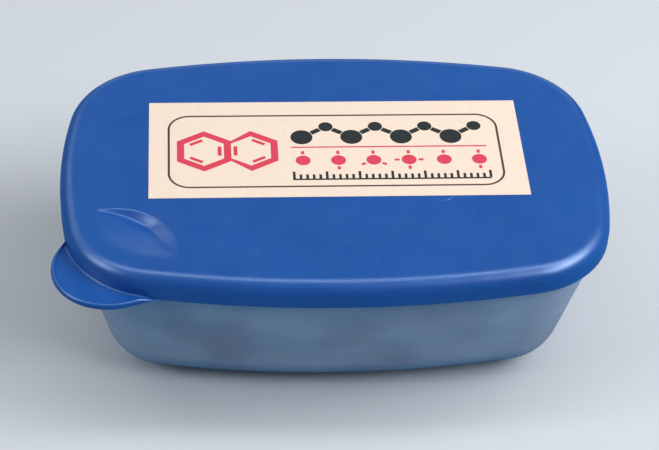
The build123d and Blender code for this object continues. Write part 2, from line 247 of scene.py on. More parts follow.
paperFinish = {
    "shades": {"label": ("#F8E4D3", "#F3DDCA"), "leaf": ("#F1F0EA", "#E6E4DC")},
    "drift": {"size": 2.8, "detail": 6, "roughness": 0.65},
    "rough": 0.72,
    "bumps": ({"depth": 0.015, "size": 0.7, "detail": 5, "roughness": 0.7},),
    "refraction": 1.45,
}
leafPrint = {
    "ink": "#4A4C50",
    "weight": 0.75,          # share of the ink over the paper
    "pitch": 2.6,            # mm from row to row
    "stroke": (0.30, 0.66),  # part of the pitch that is inked
    "dash": 2.1,             # mm, about one dash and its gap
    "rowShift": 7.3,         # step through the noise from row to row
    "gapLevel": 0.43,        # noise level under which a row is broken
    "columns": 3,
    "margin": 0.07,          # share of a column, at both its sides
    "filled": 0.88,          # share of the leaf's height
}


def smallPrint(tree, place, colour):
    # rows of dashes in columns, which give the eye a page of print: a row is inked over part of its
    # pitch, and broken where a noise along it falls below a level
    cfg = leafPrint
    x, _, z = (node(tree, "SeparateXYZ", {0: place}).outputs[k] for k in range(3))
    low, high = (np.array(corner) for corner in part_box("instruction_sheet"))
    width, height = float(high[0] - low[0]), float(high[2] - low[2])
    fromLeft, fromFoot = calc(tree, "SUBTRACT", x, float(low[0])), calc(tree, "SUBTRACT", z, float(low[2]))
    rows = calc(tree, "DIVIDE", fromFoot, cfg["pitch"] * mm)
    inRow = calc(tree, "FRACT", rows)
    inColumn = calc(tree, "FRACT", calc(tree, "DIVIDE", fromLeft, width / cfg["columns"]))
    spot = node(tree, "CombineXYZ", {
        0: calc(tree, "DIVIDE", x, cfg["dash"] * mm),
        1: calc(tree, "MULTIPLY", calc(tree, "FLOOR", rows), cfg["rowShift"]),
    }).outputs[0]
    broken = node(tree, "TexNoise", {"Vector": spot, "Scale": 1.0, "Detail": 0.0}).outputs["Fac"]
    tests = (
        ("GREATER_THAN", inRow, cfg["stroke"][0]),
        ("LESS_THAN", inRow, cfg["stroke"][1]),
        ("GREATER_THAN", broken, cfg["gapLevel"]),
        ("GREATER_THAN", inColumn, cfg["margin"]),
        ("LESS_THAN", inColumn, 1 - cfg["margin"]),
        ("LESS_THAN", calc(tree, "DIVIDE", fromFoot, height), cfg["filled"]),
    )
    inked = cfg["weight"]
    for operation, value, limit in tests:
        inked = calc(tree, "MULTIPLY", inked, calc(tree, operation, value, limit))
    return blendColours(tree, inked, colour, linear(cfg["ink"]))


# Printing ink: laid thin on the paper, which gives a dull film with small light pinholes

inkFinish = {
    "shades": {
        "redPrintingInk": ("#DE4158", "#E8808A"),
        "blackPrintingInk": ("#20272A", "#4A4D4C"),
        "brownBlackLineInk": ("#44372F", "#6E6055"),
    },
    "drift": {"size": 0.8, "detail": 4, "roughness": 0.7, "most": 0.5, "levels": (0.58, 0.72)},
    "rough": 0.6,
    "refraction": 1.48,
}


# Atoms: polished tool polystyrene, which gives a hard gloss over a very slight sink of the surface

atomFinish = {
    "plastic": "Polystyrene",
    "shades": {
        "carbon_black": ("#17181A", "#222326"),
        "hydrogen_white": ("#ECEBE6", "#E2E0DA"),
        "oxygen_red": ("#C4261E", "#B01F1A"),
        "nitrogen_blue": ("#2450A8", "#1D4496"),
        "chlorine_green": ("#2C8A3C", "#247A34"),
        "sulphur_yellow": ("#E3B41E", "#D6A516"),
    },
    "drift": {"size": 6, "detail": 3},
    "rough": {"between": (0.16, 0.30), "size": 2.2, "detail": 5, "roughness": 0.65},
    "bumps": ({"depth": 0.05, "size": 5, "detail": 1},),
    "refraction": 1.59,
}


# Links and the remover: flexible grey polypropylene, moulded, which gives a soft waxy sheen

linkFinish = {
    "plastic": "Polypropylene",
    "shades": {"link_grey": ("#9A9DA0", "#8C9093"), "remover_grey": ("#B4B8BB", "#A8ACB0")},
    "drift": {"size": 5, "detail": 3},
    "rough": {"between": (0.36, 0.5), "size": 1.5, "detail": 4},
    "bumps": ({"depth": 0.01, "size": 0.6},),
    "refraction": 1.49,
}


materials = {
    "lid_blue": surface("mouldedBluePolyethylene", lidFinish, lidFinish["shades"], dusted),
    "tub_milky": surface("naturalMilkyPolyethylene", tubFinish, tubFinish["shades"]),
    "label_paper": surface("creamLabelPaper", paperFinish, paperFinish["shades"]["label"]),
    "sheet_paper": surface("whiteLeafletPaper", paperFinish, paperFinish["shades"]["leaf"], smallPrint),
}
for finish in (linkFinish, atomFinish):
    for slotName, shades in finish["shades"].items():
        materials[slotName] = surface(camel(slotName) + finish["plastic"], finish, shades)
inks = {name: surface(name, inkFinish, shades) for name, shades in inkFinish["shades"].items()}
print("materials done:", len(materials) + len(inks))


# Mesh helpers

def newPiece(name, points, faceSets, material, body, sharpAngle=32):
    # points in mm, faceSets a list of index arrays, one for each number of corners; angle in degrees
    corners = np.concatenate([f.ravel() for f in faceSets])
    counts = np.concatenate([np.full(len(f), f.shape[1]) for f in faceSets])
    starts = np.concatenate([[0], np.cumsum(counts)[:-1]])
    mesh = bpy.data.meshes.new(name)
    mesh.vertices.add(len(points))
    mesh.vertices.foreach_set("co", (np.asarray(points, float) * mm).astype(np.float32).ravel())
    mesh.loops.add(len(corners))
    mesh.loops.foreach_set("vertex_index", corners.astype(np.int32))
    mesh.polygons.add(len(counts))
    mesh.polygons.foreach_set("loop_start", starts.astype(np.int32))
    mesh.polygons.foreach_set("use_smooth", np.ones(len(counts), bool))
    mesh.update(calc_edges=True)
    mesh.validate()
    mesh.set_sharp_from_angle(angle=math.radians(sharpAngle))
    mesh.materials.append(material)
    piece = bpy.data.objects.new(name, mesh)
    bpy.context.scene.collection.objects.link(piece)
    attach(piece, body)
    return piece


def gridFaces(rows, columns, closed):
    # quads between neighbouring points of a grid whose columns may run round
    r, c = np.meshgrid(np.arange(rows - 1), np.arange(columns if closed else columns - 1), indexing="ij")
    here, beside = r * columns + c, r * columns + (c + 1) % columns
    return np.stack([here, beside, beside + columns, here + columns], axis=-1).reshape(-1, 4)


def circle(angles):
    # points of a circle of radius 1
    return np.stack([np.cos(angles), np.sin(angles)], axis=-1)


def raised(plan, heights):
    # rows of plan points, each row at its own height
    z = np.broadcast_to(np.reshape(heights, (-1, 1, 1)), (*plan.shape[:2], 1))
    return np.concatenate([plan, z], axis=-1)


def smoothStep(t):
    # from 0 to 1 with level ends: three times the square less twice the cube
    t = np.clip(t, 0, 1)
    return t * t * (3 - 2 * t)


def softLeast(a, b, sharpness=6):
    # the smaller of two positive heights, with the line where they cross rounded in step with the height
    least, most = np.minimum(a, b), np.maximum(a, b)
    return least * (1 + (least / most) ** sharpness) ** (-1 / sharpness)


def softPositive(a, width):
    # zero below and the value itself above, with the corner between them rounded over the width
    return 0.5 * (a + np.sqrt(a ** 2 + width ** 2))


# Plan outline that the lid and the tub share: four bowed sides and four round corners

outlineShape = {
    "length": 225,
    "width": 149,
    "corner": 39.5,
    "endBow": 2.5,
    "sideBow": 6.2,
    "steps": {"end": 40, "corner": 44, "side": 64},
}


def outlineArcs(cfg):
    # a corner's centre, and the radii of arcs that bow out between two such centres: the square of half
    # the chord and the square of the bow together, over twice the bow
    cornerX = cfg["length"] / 2 - cfg["corner"] - cfg["endBow"]
    cornerY = cfg["width"] / 2 - cfg["corner"] - cfg["sideBow"]
    endRadius = (cornerY ** 2 + cfg["endBow"] ** 2) / (2 * cfg["endBow"])
    sideRadius = (cornerX ** 2 + cfg["sideBow"] ** 2) / (2 * cfg["sideBow"])
    return cornerX, cornerY, endRadius, sideRadius


def outlineRays(cfg):
    # every ray is an arc's centre, its radius and an angle, so an inset only shortens the radius
    cornerX, cornerY, endRadius, sideRadius = outlineArcs(cfg)
    halves = {"end": math.asin(cornerY / endRadius), "side": math.asin(cornerX / sideRadius)}
    quarter = math.pi / 2
    rows = []
    for turn in range(4):
        alongX = 1 if turn in (0, 3) else -1
        alongY = 1 if turn in (0, 1) else -1
        if turn % 2 == 0:
            kind, following, radius = "end", "side", endRadius
            centre = (alongX * (cornerX + cfg["endBow"] - endRadius), 0)
        else:
            kind, following, radius = "side", "end", sideRadius
            centre = (0, alongY * (cornerY + cfg["sideBow"] - sideRadius))
        first, last = quarter * turn - halves[kind], quarter * turn + halves[kind]
        cornerEnd = quarter * (turn + 1) - halves[following]
        arcs = (
            (kind, centre, radius, first, last),
            ("corner", (alongX * cornerX, alongY * cornerY), 0, last, cornerEnd),
        )
        for name, (x, y), bowed, start, end in arcs:
            steps = cfg["steps"][name]
            angles = start + (end - start) * np.arange(steps) / steps
            fixed = np.broadcast_to([x, y, bowed + cfg["corner"]], (steps, 3))
            rows.append(np.column_stack([fixed, angles]))
    return np.concatenate(rows)


rays = outlineRays(outlineShape)


def ringAt(insets):
    # the plan point of every ray at each inset, one row per inset
    reach = rays[:, 2] - np.reshape(insets, (-1, 1))
    return rays[:, :2] + reach[..., None] * circle(rays[:, 3])


def carried(profile):
    # a profile of insets and heights, carried round the outline as one loop of points per station
    return raised(ringAt(profile[:, 0]), profile[:, 1])


def between(first, last, shares):
    # loops that go from one loop to another in straight lines
    return np.stack([first + (last - first) * s for s in shares])


def closedShell(name, loops, firstPoint, lastPoint, material, body):
    # loops of equal count joined by quads, with a fan of triangles to a point at each end
    rows, columns = loops.shape[:2]
    points = np.concatenate([loops.reshape(-1, 3), [firstPoint, lastPoint]])
    around = np.arange(columns)
    after = (around + 1) % columns
    low = (rows - 1) * columns
    fans = np.concatenate([
        np.stack([np.full(columns, rows * columns), around, after], axis=1),
        np.stack([np.full(columns, rows * columns + 1), low + after, low + around], axis=1),
    ])
    return newPiece(name, points, [gridFaces(rows, columns, True)[:, ::-1], fans], material, body)


def bend(inset, z, radius, start, end, steps):
    # part of a circle in the profile's plane; 0 degrees points outwards, 90 up
    angle = np.radians(np.linspace(start, end, steps))
    return np.stack([inset - radius * np.cos(angle), z + radius * np.sin(angle)], axis=1)


def run(first, last, steps):
    # evenly spaced points from one to the other
    return np.linspace(first, last, steps)


# Lid

lidShape = {
    "top": 75.8,
    "skirtBottom": 64.5,
    "edge": 6.2,
    "wall": 1.3,
    "lip": 0.45,
    "beadReach": 0.18,
    "beadMiddle": 1.6,       # mm above the skirt's bottom
    "beadHalf": 0.6,
    "seal": (5.1, 6.3),      # insets of the ring that plugs the tub
    "sealDrop": 5.2,
    "sealRound": 0.45,
    "sealLean": 20,          # degrees off level where its tip starts to curl
    "sealRoot": 0.2,         # mm over which the ring runs into the lid's inside
    "flatFrom": 7.4,         # inset where the level panel starts
    "clear": (0.3, 0.5, 0.8),    # mm between a bend and the first point of the run beside it
    "panelShares": (0.04, 0.12, 0.3, 0.6),   # of the way from the dent to the panel's rim
    "gateRing": {"spot": (42.5, -19), "radius": 5, "half": 0.3, "height": 0.12,
                 "arc": (-20, 200), "across": 8, "around": 96},
}
dentShape = {
    "centre": (-89.6, -52.3),
    "radius": 25.5,
    "wallLean": (47, 78),        # degrees from upright, at the steep left part and at the right tip
    "leanTurn": (50, 0),         # bearings round the arc's centre between which the wall flattens out
    "leanStart": 0.12,           # share of that turn over which the change sets in
    "startInset": 9.5,           # the floor falls inwards from here, round the lid's corner
    "slope": 10.6,               # degrees
    "floorStart": 4.6,           # mm over which the floor eases into its slope
    "wallBrim": 0.5,             # mm over which the wall's top edge rounds off
    "underBrim": 0.08,           # the same where the form first shows under the panel
    "outerSpread": 0.58,         # mm of the corner's side for each mm outside the dent
    # insets of the dent's loops: by its brim, then a first, a last and a step, then over the floor
    "brimLoops": (-2.6, -1.8, -1.2, -0.8, -0.55, -0.35, -0.18, 0, 0.18, 0.36, 0.56, 0.8),
    "wallLoops": (1.05, 4.4, 0.27),
    "floorLoops": (4.8, 5.3, 6, 7, 8.2, 9.6, 11),
}


def dentFrame():
    # centres of the dent's arc and of the lid's corner, and the middle of the lens between them
    cornerX, cornerY, _, _ = outlineArcs(outlineShape)
    arc, corner = np.array(dentShape["centre"]), np.array([-cornerX, -cornerY])
    apart = np.hypot(*(corner - arc))
    startRadius = outlineShape["corner"] - dentShape["startInset"]
    width = dentShape["radius"] + startRadius - apart
    return arc, corner, arc + (corner - arc) * (dentShape["radius"] - width / 2) / apart, startRadius


def dentWall(x, y):
    # distance inside the arc, the wall's fall for each mm of it, and the lean that gives that fall
    arc = np.array(dentShape["centre"])
    bearing = np.degrees(np.arctan2(y - arc[1], x - arc[0]))
    first, last = dentShape["leanTurn"]
    share = softPositive((first - bearing) / (first - last), dentShape["leanStart"])
    steep, gentle = dentShape["wallLean"]
    lean = np.radians(steep + (gentle - steep) * np.sin(np.minimum(share, 1) * math.pi / 2))
    return dentShape["radius"] - np.hypot(x - arc[0], y - arc[1]), 1 / np.tan(lean), lean


def dentFloor(x, y):
    # a fall by the distance inside the corner's start: its square over the first few mm, then straight
    _, corner, _, startRadius = dentFrame()
    past = startRadius - np.hypot(x - corner[0], y - corner[1])
    start = dentShape["floorStart"]
    eased = np.clip(past, 0, start) ** 2 / (2 * start) + np.maximum(past - start, 0)
    return eased * math.tan(math.radians(dentShape["slope"]))


def dentDepth(x, y):
    # the smaller of two falls: a wall that starts at an arc, and a floor that falls from the lid's corner
    inside, fall, _ = dentWall(x, y)
    return softLeast(dentFloor(x, y), softPositive(inside, dentShape["wallBrim"]) * fall)


def dentUnder(x, y, wall):
    # how far the same form, grown by the lid's wall, hangs below the panel
    inside, fall, lean = dentWall(x, y)
    side = softPositive(inside + wall / np.cos(lean), dentShape["wallBrim"]) * fall
    return softPositive(softLeast(dentFloor(x, y) + wall, side) - wall, dentShape["underBrim"])


def dentLoops(bearing, inwards, height):
    # closed loops round the dent's middle, each at the nearer of its two arcs moved inwards; a line from
    # the middle meets an arc where a quadratic in its length is zero
    arc, corner, middle, startRadius = dentFrame()
    along = circle(bearing).T
    inwards = np.asarray(inwards, float)[:, None]
    spread = np.where(inwards < 0, inwards * dentShape["outerSpread"], inwards)
    reach = []
    for centre, radius in ((arc, dentShape["radius"] - inwards), (corner, startRadius - spread)):
        offset = middle - centre
        part = offset @ along
        reach.append(-part + np.sqrt(part ** 2 - offset @ offset + radius ** 2))
    reach = np.minimum(*reach)
    x, y = middle[0] + reach * along[0], middle[1] + reach * along[1]
    return np.stack([x, y, height(x, y)], axis=-1)


def lidProfile(cfg):
    # from the panel's rim over the edge, down the skirt and back up inside it to the seal ring
    top, bottom, edge, wall, lip = (cfg[k] for k in ("top", "skirtBottom", "edge", "wall", "lip"))
    panel, shoulder, lipZ = top - wall, top - edge, bottom + lip
    sealOut, sealIn = cfg["seal"]
    tip, curl, inner = panel - cfg["sealDrop"] + cfg["sealRound"], cfg["sealRound"], edge - wall
    small, middling, wide = cfg["clear"]
    root, lean = cfg["sealRoot"], cfg["sealLean"]
    reachUp = math.degrees(math.acos((edge - sealOut + root) / inner))
    sealTop = shoulder + inner * math.sin(math.radians(reachUp))
    beadZ = np.linspace(lipZ + small, bottom + 2 * cfg["beadMiddle"], 12)
    swell = np.exp(-((beadZ - bottom - cfg["beadMiddle"]) / cfg["beadHalf"]) ** 2) * cfg["beadReach"]
    return np.concatenate([
        run((cfg["flatFrom"], top), (edge + small, top), 3),
        bend(edge, shoulder, edge, 90, 0, 20),
        run((0, shoulder - wide), (0, lipZ + middling), 4),
        bend(lip, lipZ, lip, 0, -90, 5),
        bend(wall - lip, lipZ, lip, 270, 180, 5),
        np.stack([wall + swell, beadZ], axis=1),
        run((wall, shoulder - 2 * small), (wall, shoulder), 2),
        bend(edge, shoulder, inner, 6, reachUp, 10),
        run((sealOut - 0.03, sealTop - root), (sealOut, sealTop - middling), 2),
        run((sealOut, sealTop - wide), (sealOut, tip), 3),
        bend(sealOut + curl, tip, curl, -lean, -90, 4),
        bend(sealIn - curl, tip, curl, 270, 180 + lean, 4),
        run((sealIn, tip), (sealIn, panel - 2 * root), 3),
        run((sealIn + root, panel - 0.08), (cfg["flatFrom"], panel), 3),
    ])


def makeLid(cfg):
    # from the dent's middle out over the panel, round the profile and back under to the same middle
    top, panel, wall = cfg["top"], cfg["top"] - cfg["wall"], cfg["wall"]
    rim = carried(lidProfile(cfg))
    middle = dentFrame()[2]
    bearing = np.arctan2(rim[0, :, 1] - middle[1], rim[0, :, 0] - middle[0])
    wallLoops = np.arange(*dentShape["wallLoops"])
    insets = np.concatenate([dentShape["brimLoops"], wallLoops, dentShape["floorLoops"]])
    dent = dentLoops(bearing, insets[::-1], lambda x, y: top - dentDepth(x, y))
    under = dentLoops(bearing, insets[::2], lambda x, y: panel - dentUnder(x, y, wall))
    shares = np.array(cfg["panelShares"])
    loops = np.concatenate([dent, between(dent[-1], rim[0], shares), rim,
                            between(rim[-1], under[0], 1 - shares[::-1]), under])
    firstPoint = [*middle, top - float(dentDepth(*middle))]
    lastPoint = [*middle, panel - float(dentUnder(*middle, wall))]
    shell = closedShell("lidShell", loops, firstPoint, lastPoint, materials["lid_blue"], "lid")
    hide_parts("lid")


def makeGateRing(cfg):
    # hairline ring that the moulding gate left: a flat arc carried round a circle
    around = np.linspace(0, 2 * math.pi, cfg["around"], endpoint=False)
    across = np.radians(np.linspace(*cfg["arc"], cfg["across"]))
    radius = cfg["radius"] + cfg["half"] * np.cos(across)
    plan = cfg["spot"] + radius[:, None, None] * circle(around)
    points = raised(plan, lidShape["top"] + cfg["height"] * np.sin(across))
    closed = np.concatenate([points, points[:1]])
    faces = gridFaces(cfg["across"] + 1, cfg["around"], True)[:, ::-1]
    ring = newPiece("gateRing", closed.reshape(-1, 3), [faces], materials["lid_blue"], "lid")


# Pull tab

tabShape = {
    "centre": (-91.7, -50.8),
    "radius": 22.9,
    "tip": (-74.9, -69.1),
    "startBearing": 60,      # degrees, where the disc's edge is still inside the skirt
    "discPoints": 2000,
    "tangent": (0.02, 24, 800),      # mm along it at the first and last point, and the count
    "thickness": 1.5,
    "rimHeight": 2.4,
    "rimWidth": 2.2,
    "edgeRound": 1.25,
    "root": 0.8,             # radius where the plate meets the skirt
    "inside": (0.9, 0.1),    # of the plate's hidden edge: how far it is in the skirt, and its lowest step
    "lowRound": (0.4, 0.12),  # of the outer edge's underside: the round's size, and its middle's inset
    "leastWidth": 0.001,
    "leastShare": 0.02,      # of a section's distances, where the plate runs out
    "taper": 9,              # mm before the tip over which the plate thins out
    "tipShare": 0.12,        # what is left of its height there
    "steps": 170,
    "crowding": 0.08,        # how much closer the steps stand at both ends
    "sharpAngle": 40,
}


def outlineInset(x, y, cfg=outlineShape):
    # distance inside the outline: to the corner's arc past both bowed arcs, else the lesser of theirs
    cornerX, cornerY, endRadius, sideRadius = outlineArcs(cfg)
    endX, sideY = cornerX + cfg["endBow"] - endRadius, cornerY + cfg["sideBow"] - sideRadius
    x, y = np.abs(x), np.abs(y)
    fromEnd = endRadius + cfg["corner"] - np.hypot(x - endX, y)
    fromSide = sideRadius + cfg["corner"] - np.hypot(x, y - sideY)
    fromCorner = cfg["corner"] - np.hypot(x - cornerX, y - cornerY)
    pastEnd = np.arctan2(y, x - endX) > math.asin(cornerY / endRadius)
    pastSide = np.arctan2(x, y - sideY) > math.asin(cornerX / sideRadius)
    return np.where(pastEnd & pastSide, fromCorner, np.minimum(fromEnd, fromSide))


def resampled(path, shares):
    # points at given shares of a path's length
    length = np.concatenate([[0], np.cumsum(np.hypot(*np.diff(path, axis=0).T))])
    return np.stack([np.interp(shares * length[-1], length, path[:, k]) for k in (0, 1)], axis=1)


def tabCurves(cfg):
    # outer edge: the disc, then its tangent to the tip; inner edge: the outline between the same ends
    centre, tip = np.array(cfg["centre"]), np.array(cfg["tip"])
    toTip = tip - centre
    leave = math.atan2(toTip[1], toTip[0]) - math.acos(cfg["radius"] / np.hypot(*toTip))
    angles = np.linspace(math.radians(cfg["startBearing"]), leave + 2 * math.pi, cfg["discPoints"])
    disc = centre + cfg["radius"] * circle(angles)
    ahead = circle(leave + math.pi / 2)
    path = np.concatenate([disc, disc[-1] + np.linspace(*cfg["tangent"])[:, None] * ahead])
    outside = np.flatnonzero(outlineInset(path[:, 0], path[:, 1]) < 0)
    path = path[outside[0] - 1:outside[-1] + 2]
    shares = np.linspace(0, 1, cfg["steps"])
    shares = shares - cfg["crowding"] * np.sin(2 * math.pi * shares) / math.pi
    outline = ringAt(0)[0]
    first, last = (np.argmin(np.hypot(*(outline - end).T)) for end in (path[0], path[-1]))
    part = outline[first:last + 1]
    part[0], part[-1] = path[0], path[-1]
    return resampled(part, shares), resampled(path, shares)


def tabStations(cfg):
    # a section of plate, root and round rim: the edge that each point is measured from, the distance and
    # the height; both rounds are quarter circles, and a smooth step joins the plate to the rim
    flat, crown, root, curl = (cfg[k] for k in ("thickness", "rimHeight", "root", "edgeRound"))
    lowSize, lowInset = cfg["lowRound"]
    hidden, hiddenStep = cfg["inside"]
    quarter = math.pi / 2
    stations = [("in", -hidden, hiddenStep), ("in", -hidden, flat + root)]
    for angle in np.linspace(0, quarter, 7):
        stations.append(("in", root * (1 - math.cos(angle)), flat + root * (1 - math.sin(angle))))
    for share in np.linspace(0, 1, 8):
        distance = cfg["rimWidth"] + (curl - cfg["rimWidth"]) * share
        stations.append(("out", distance, flat + (crown - flat) * float(smoothStep(share))))
    for angle in np.linspace(quarter, 0, 10)[1:]:
        stations.append(("out", curl * (1 - math.cos(angle)), crown - curl * (1 - math.sin(angle))))
    stations += [("out", 0, lowSize), ("out", lowInset, lowInset), ("out", lowSize, 0)]
    return stations + [("in", -hidden, 0)]


def makeTab(cfg):
    # the section carried along both curves, narrowed where they are close and thinned towards the tip
    inner, outer = tabCurves(cfg)
    across = outer - inner
    width = np.maximum(np.hypot(*across.T), cfg["leastWidth"])
    unit = across / width[:, None]
    unit[0], unit[-1] = unit[2], unit[-3]
    squeeze = np.clip(width / (2 * cfg["rimWidth"]), cfg["leastShare"], 1.0)
    toTip = np.hypot(*(outer - outer[-1]).T)
    thin = cfg["tipShare"] + (1 - cfg["tipShare"]) * smoothStep(toTip / cfg["taper"])
    rows = []
    for side, distance, z in tabStations(cfg):
        base, way = (inner, 1) if side == "in" else (outer, -1)
        step = distance * squeeze if distance > 0 else np.full(len(width), distance)
        plan = base + unit * (way * step)[:, None]
        rows.append(np.column_stack([plan, lidShape["skirtBottom"] + z * thin]))
    grid = np.array(rows)
    count, steps = grid.shape[:2]
    section = np.arange(count)[None, :] * steps
    closed = np.concatenate([grid, grid[:1]])
    faceSets = [gridFaces(count + 1, steps, False), section, section[:, ::-1] + steps - 1]
    points = closed.reshape(-1, 3)
    tab = newPiece("pullTab", points, faceSets, materials["lid_blue"], "lid", cfg["sharpAngle"])


makeLid(lidShape)
makeGateRing(lidShape["gateRing"])
makeTab(tabShape)
print("lid and tab done")


# Tub

tubShape = {
    "wallInset": 3.3,        # at the level of the skirt's lower edge
    "draft": 14.6,
    "wall": 1.5,
    "floor": 1.6,
    "baseRadius": 24.2,
    "rimInset": 1.6,
    "rimTop": 74.2,
    "rimRadius": 4.6,
    "hook": 2.4,
    "hookRoot": 0.3,         # radius where the hook meets the wall
    "hookEdge": 0.4,         # radius of its lower edge
    "mouthRound": 0.6,
    "flatFrom": 39,
    "clear": (0.1, 0.3, 0.5, 1),     # mm between a bend and the first point of the run beside it
    "groove": {"size": (112, 46), "corner": 12, "width": 2.4, "depth": 0.5, "round": 0.15},
    "gateDisc": {"radius": 3, "height": 0.25, "round": 0.08},
    "baseShares": {"core": (0.8, 0.5, 0.2), "foot": (0.2, 0.6), "floor": (0.2, 0.5, 0.8)},
}


def tubProfile(cfg):
    # from the flat base out and up the leaning wall, round the rim, and down the inside to the floor
    lean, skirt = math.radians(cfg["draft"]), lidShape["skirtBottom"]
    slope = math.tan(lean)
    tiny, small, middling, wide = cfg["clear"]

    def wallRun(inset, floor, radius):
        # the base's round corner, then the wall up to the skirt
        centre = inset + slope * (skirt - floor - radius) + radius / math.cos(lean)
        curve = bend(centre, floor + radius, radius, -90, -cfg["draft"], 30)
        heights = np.linspace(floor + radius * (1 - math.sin(lean)) + wide, skirt - small, 14)
        return np.concatenate([curve, np.stack([inset + slope * (skirt - heights), heights], axis=1)])

    outer, rim, flat, floor = (cfg[k] for k in ("wallInset", "rimInset", "flatFrom", "floor"))
    centre, shoulder = rim + cfg["rimRadius"], cfg["rimTop"] - cfg["rimRadius"]
    hookZ, root, edge = shoulder - cfg["hook"], cfg["hookRoot"], cfg["hookEdge"]
    inner, curl = outer + cfg["wall"], cfg["mouthRound"]
    # the mouth's small radius touches both the rim's dome and the upright inside
    lift = math.sqrt((cfg["rimRadius"] - curl) ** 2 - (centre - inner + curl) ** 2)
    meet = math.degrees(math.atan2(lift, centre - inner + curl))
    mouth = shoulder + lift
    return np.concatenate([
        run((flat, 0), (flat - tiny, 0), 2),
        wallRun(outer, 0, cfg["baseRadius"]),
        run((outer, skirt + small), (outer, hookZ - root), 3),
        bend(outer - root, hookZ - root, root, 180, 90, 3),
        bend(rim + edge, hookZ + edge, edge, -90, 0, 5),
        run((rim, hookZ + 2 * edge), (rim, shoulder - edge), 3),
        bend(centre, shoulder, cfg["rimRadius"], 0, meet, 16),
        bend(inner - curl, mouth, curl, meet, 180, 7),
        run((inner, mouth - middling), (inner, skirt + small), 5),
        wallRun(inner, floor, cfg["baseRadius"] - cfg["wall"])[::-1],
        run((flat - tiny, floor), (flat, floor), 2),
    ])


def boxLoop(bearing, size, corner):
    # a rectangle with round corners, as a distance from the origin along each bearing
    ahead = np.abs(circle(bearing)).T
    half = np.array(size) / 2
    flat = np.min(half[:, None] / np.maximum(ahead, 1e-9), axis=0)
    centre = half - corner
    part = centre @ ahead
    rounded = part + np.sqrt(np.maximum(part ** 2 - centre @ centre + corner ** 2, 0))
    inCorner = np.all(ahead * flat > centre[:, None], axis=0)
    return np.where(inCorner, rounded, flat)[:, None] * circle(bearing)


def grooveLoops(cfg, bearing):
    # the foot groove, outermost first: how far each ring is inside its outer edge, and its height
    deep, curl, width = cfg["depth"], cfg["round"], cfg["width"]
    part = 0.3 * curl
    steps = [(-curl, 0), (0, part), (part, curl), (curl, deep)]
    steps += [(width - s, z) for s, z in steps[::-1]]
    size = np.array(cfg["size"])
    plan = np.stack([boxLoop(bearing, size - 2 * s, cfg["corner"] - s) for s, _ in steps])
    return raised(plan, [z for _, z in steps])


def gateLoops(cfg, bearing, floor):
    # the gate's low disc: up its side and over its edge
    radius, curl, height = cfg["radius"], cfg["round"], cfg["height"]
    radii = np.array([radius + curl, radius, radius, radius - curl])
    heights = floor + np.array([0, curl, height - curl, height])
    return raised(radii[:, None, None] * circle(bearing), heights)


def makeTub(cfg):
    # from the middle of the base out over the groove, round the profile and in over the floor to the gate
    body = carried(tubProfile(cfg))
    bearing = np.arctan2(body[0, :, 1], body[0, :, 0])
    shares, disc = cfg["baseShares"], cfg["gateDisc"]
    foot = grooveLoops(cfg["groove"], bearing)
    gate = gateLoops(disc, bearing, cfg["floor"])
    core = [foot[-1] * (k, k, 1) for k in shares["core"]]
    below = np.concatenate([core[::-1], foot[::-1], between(foot[0], body[0], shares["foot"])])
    loops = np.concatenate([below, body, between(body[-1], gate[0], shares["floor"]), gate])
    firstPoint, lastPoint = [0, 0, cfg["floor"] + disc["height"]], [0, 0, 0]
    shell = closedShell("tubShell", loops[::-1], firstPoint, lastPoint, materials["tub_milky"], "tub")
    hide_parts("tub")


makeTub(tubShape)
print("tub done")


# Label print: a round-cornered frame line, a pair of joined red rings, a black zigzag of balls and bars,
# a row of red discs with one to four spokes, and a black row of measuring ticks

labelPrint = {
    "centre": (1.2, 9.5),
    "thickness": 0.02,
    "frame": {"size": (138.3, 46.6), "offset": (-0.6, -1.4), "corner": 9, "steps": 12, "line": 0.9},
    "rings": {"spot": (-53.6, 8.1), "radius": 11.4, "stroke": 3, "inset": 5.6, "inner": 1.6, "cut": 0.1,
              "gap": 0.02},
    "chain": {"from": -13, "step": 10.4, "count": 8, "middle": 20, "rise": 3.4, "big": 4.6,
              "small": 3, "sides": 40, "bar": 2.4, "gap": 0.25},
    "lines": (-17.6, 63.8),      # where the rule and the ruler start and end
    "rule": {"y": 10.1, "stroke": 0.8},
    "discs": {"from": -13, "step": 14.6, "count": 6, "y": 1.6, "radius": 3.1, "sides": 32,
              "spoke": (3.9, 6, 1.3)},
    "ruler": {"y": -10.4, "line": 0.9, "step": 2.69, "every": 5, "tall": 4.4, "short": 2.6, "stroke": 1.1,
              "gap": 0.02},
}


def insetPolygon(points, distance):
    # mitred offset of a closed polygon, counter-clockwise: each corner moves inwards along the sum of its
    # sides' normals, by twice the distance over the sum's square
    before, after = points - np.roll(points, 1, axis=0), np.roll(points, -1, axis=0) - points
    before, after = (v / np.hypot(*v.T)[:, None] for v in (before, after))
    normals = [np.stack([-v[:, 1], v[:, 0]], axis=1) for v in (before, after)]
    both = normals[0] + normals[1]
    return points + both * (distance * 2 / np.sum(both ** 2, axis=1))[:, None]


def roundedBox(size, corner, steps):
    # a quarter circle about each corner's centre in turn
    angles = np.linspace(0, math.pi / 2, steps)
    parts = []
    for turn, signs in enumerate(((1, 1), (-1, 1), (-1, -1), (1, -1))):
        centre = np.array(signs) * (np.array(size) / 2 - corner)
        parts.append(centre + corner * circle(angles + turn * math.pi / 2))
    return np.concatenate(parts)


def regular(centre, radius, sides, turn=0):
    # corners of a regular polygon, evenly spaced on a circle
    return centre + radius * circle(np.arange(sides) * 2 * math.pi / sides + turn)


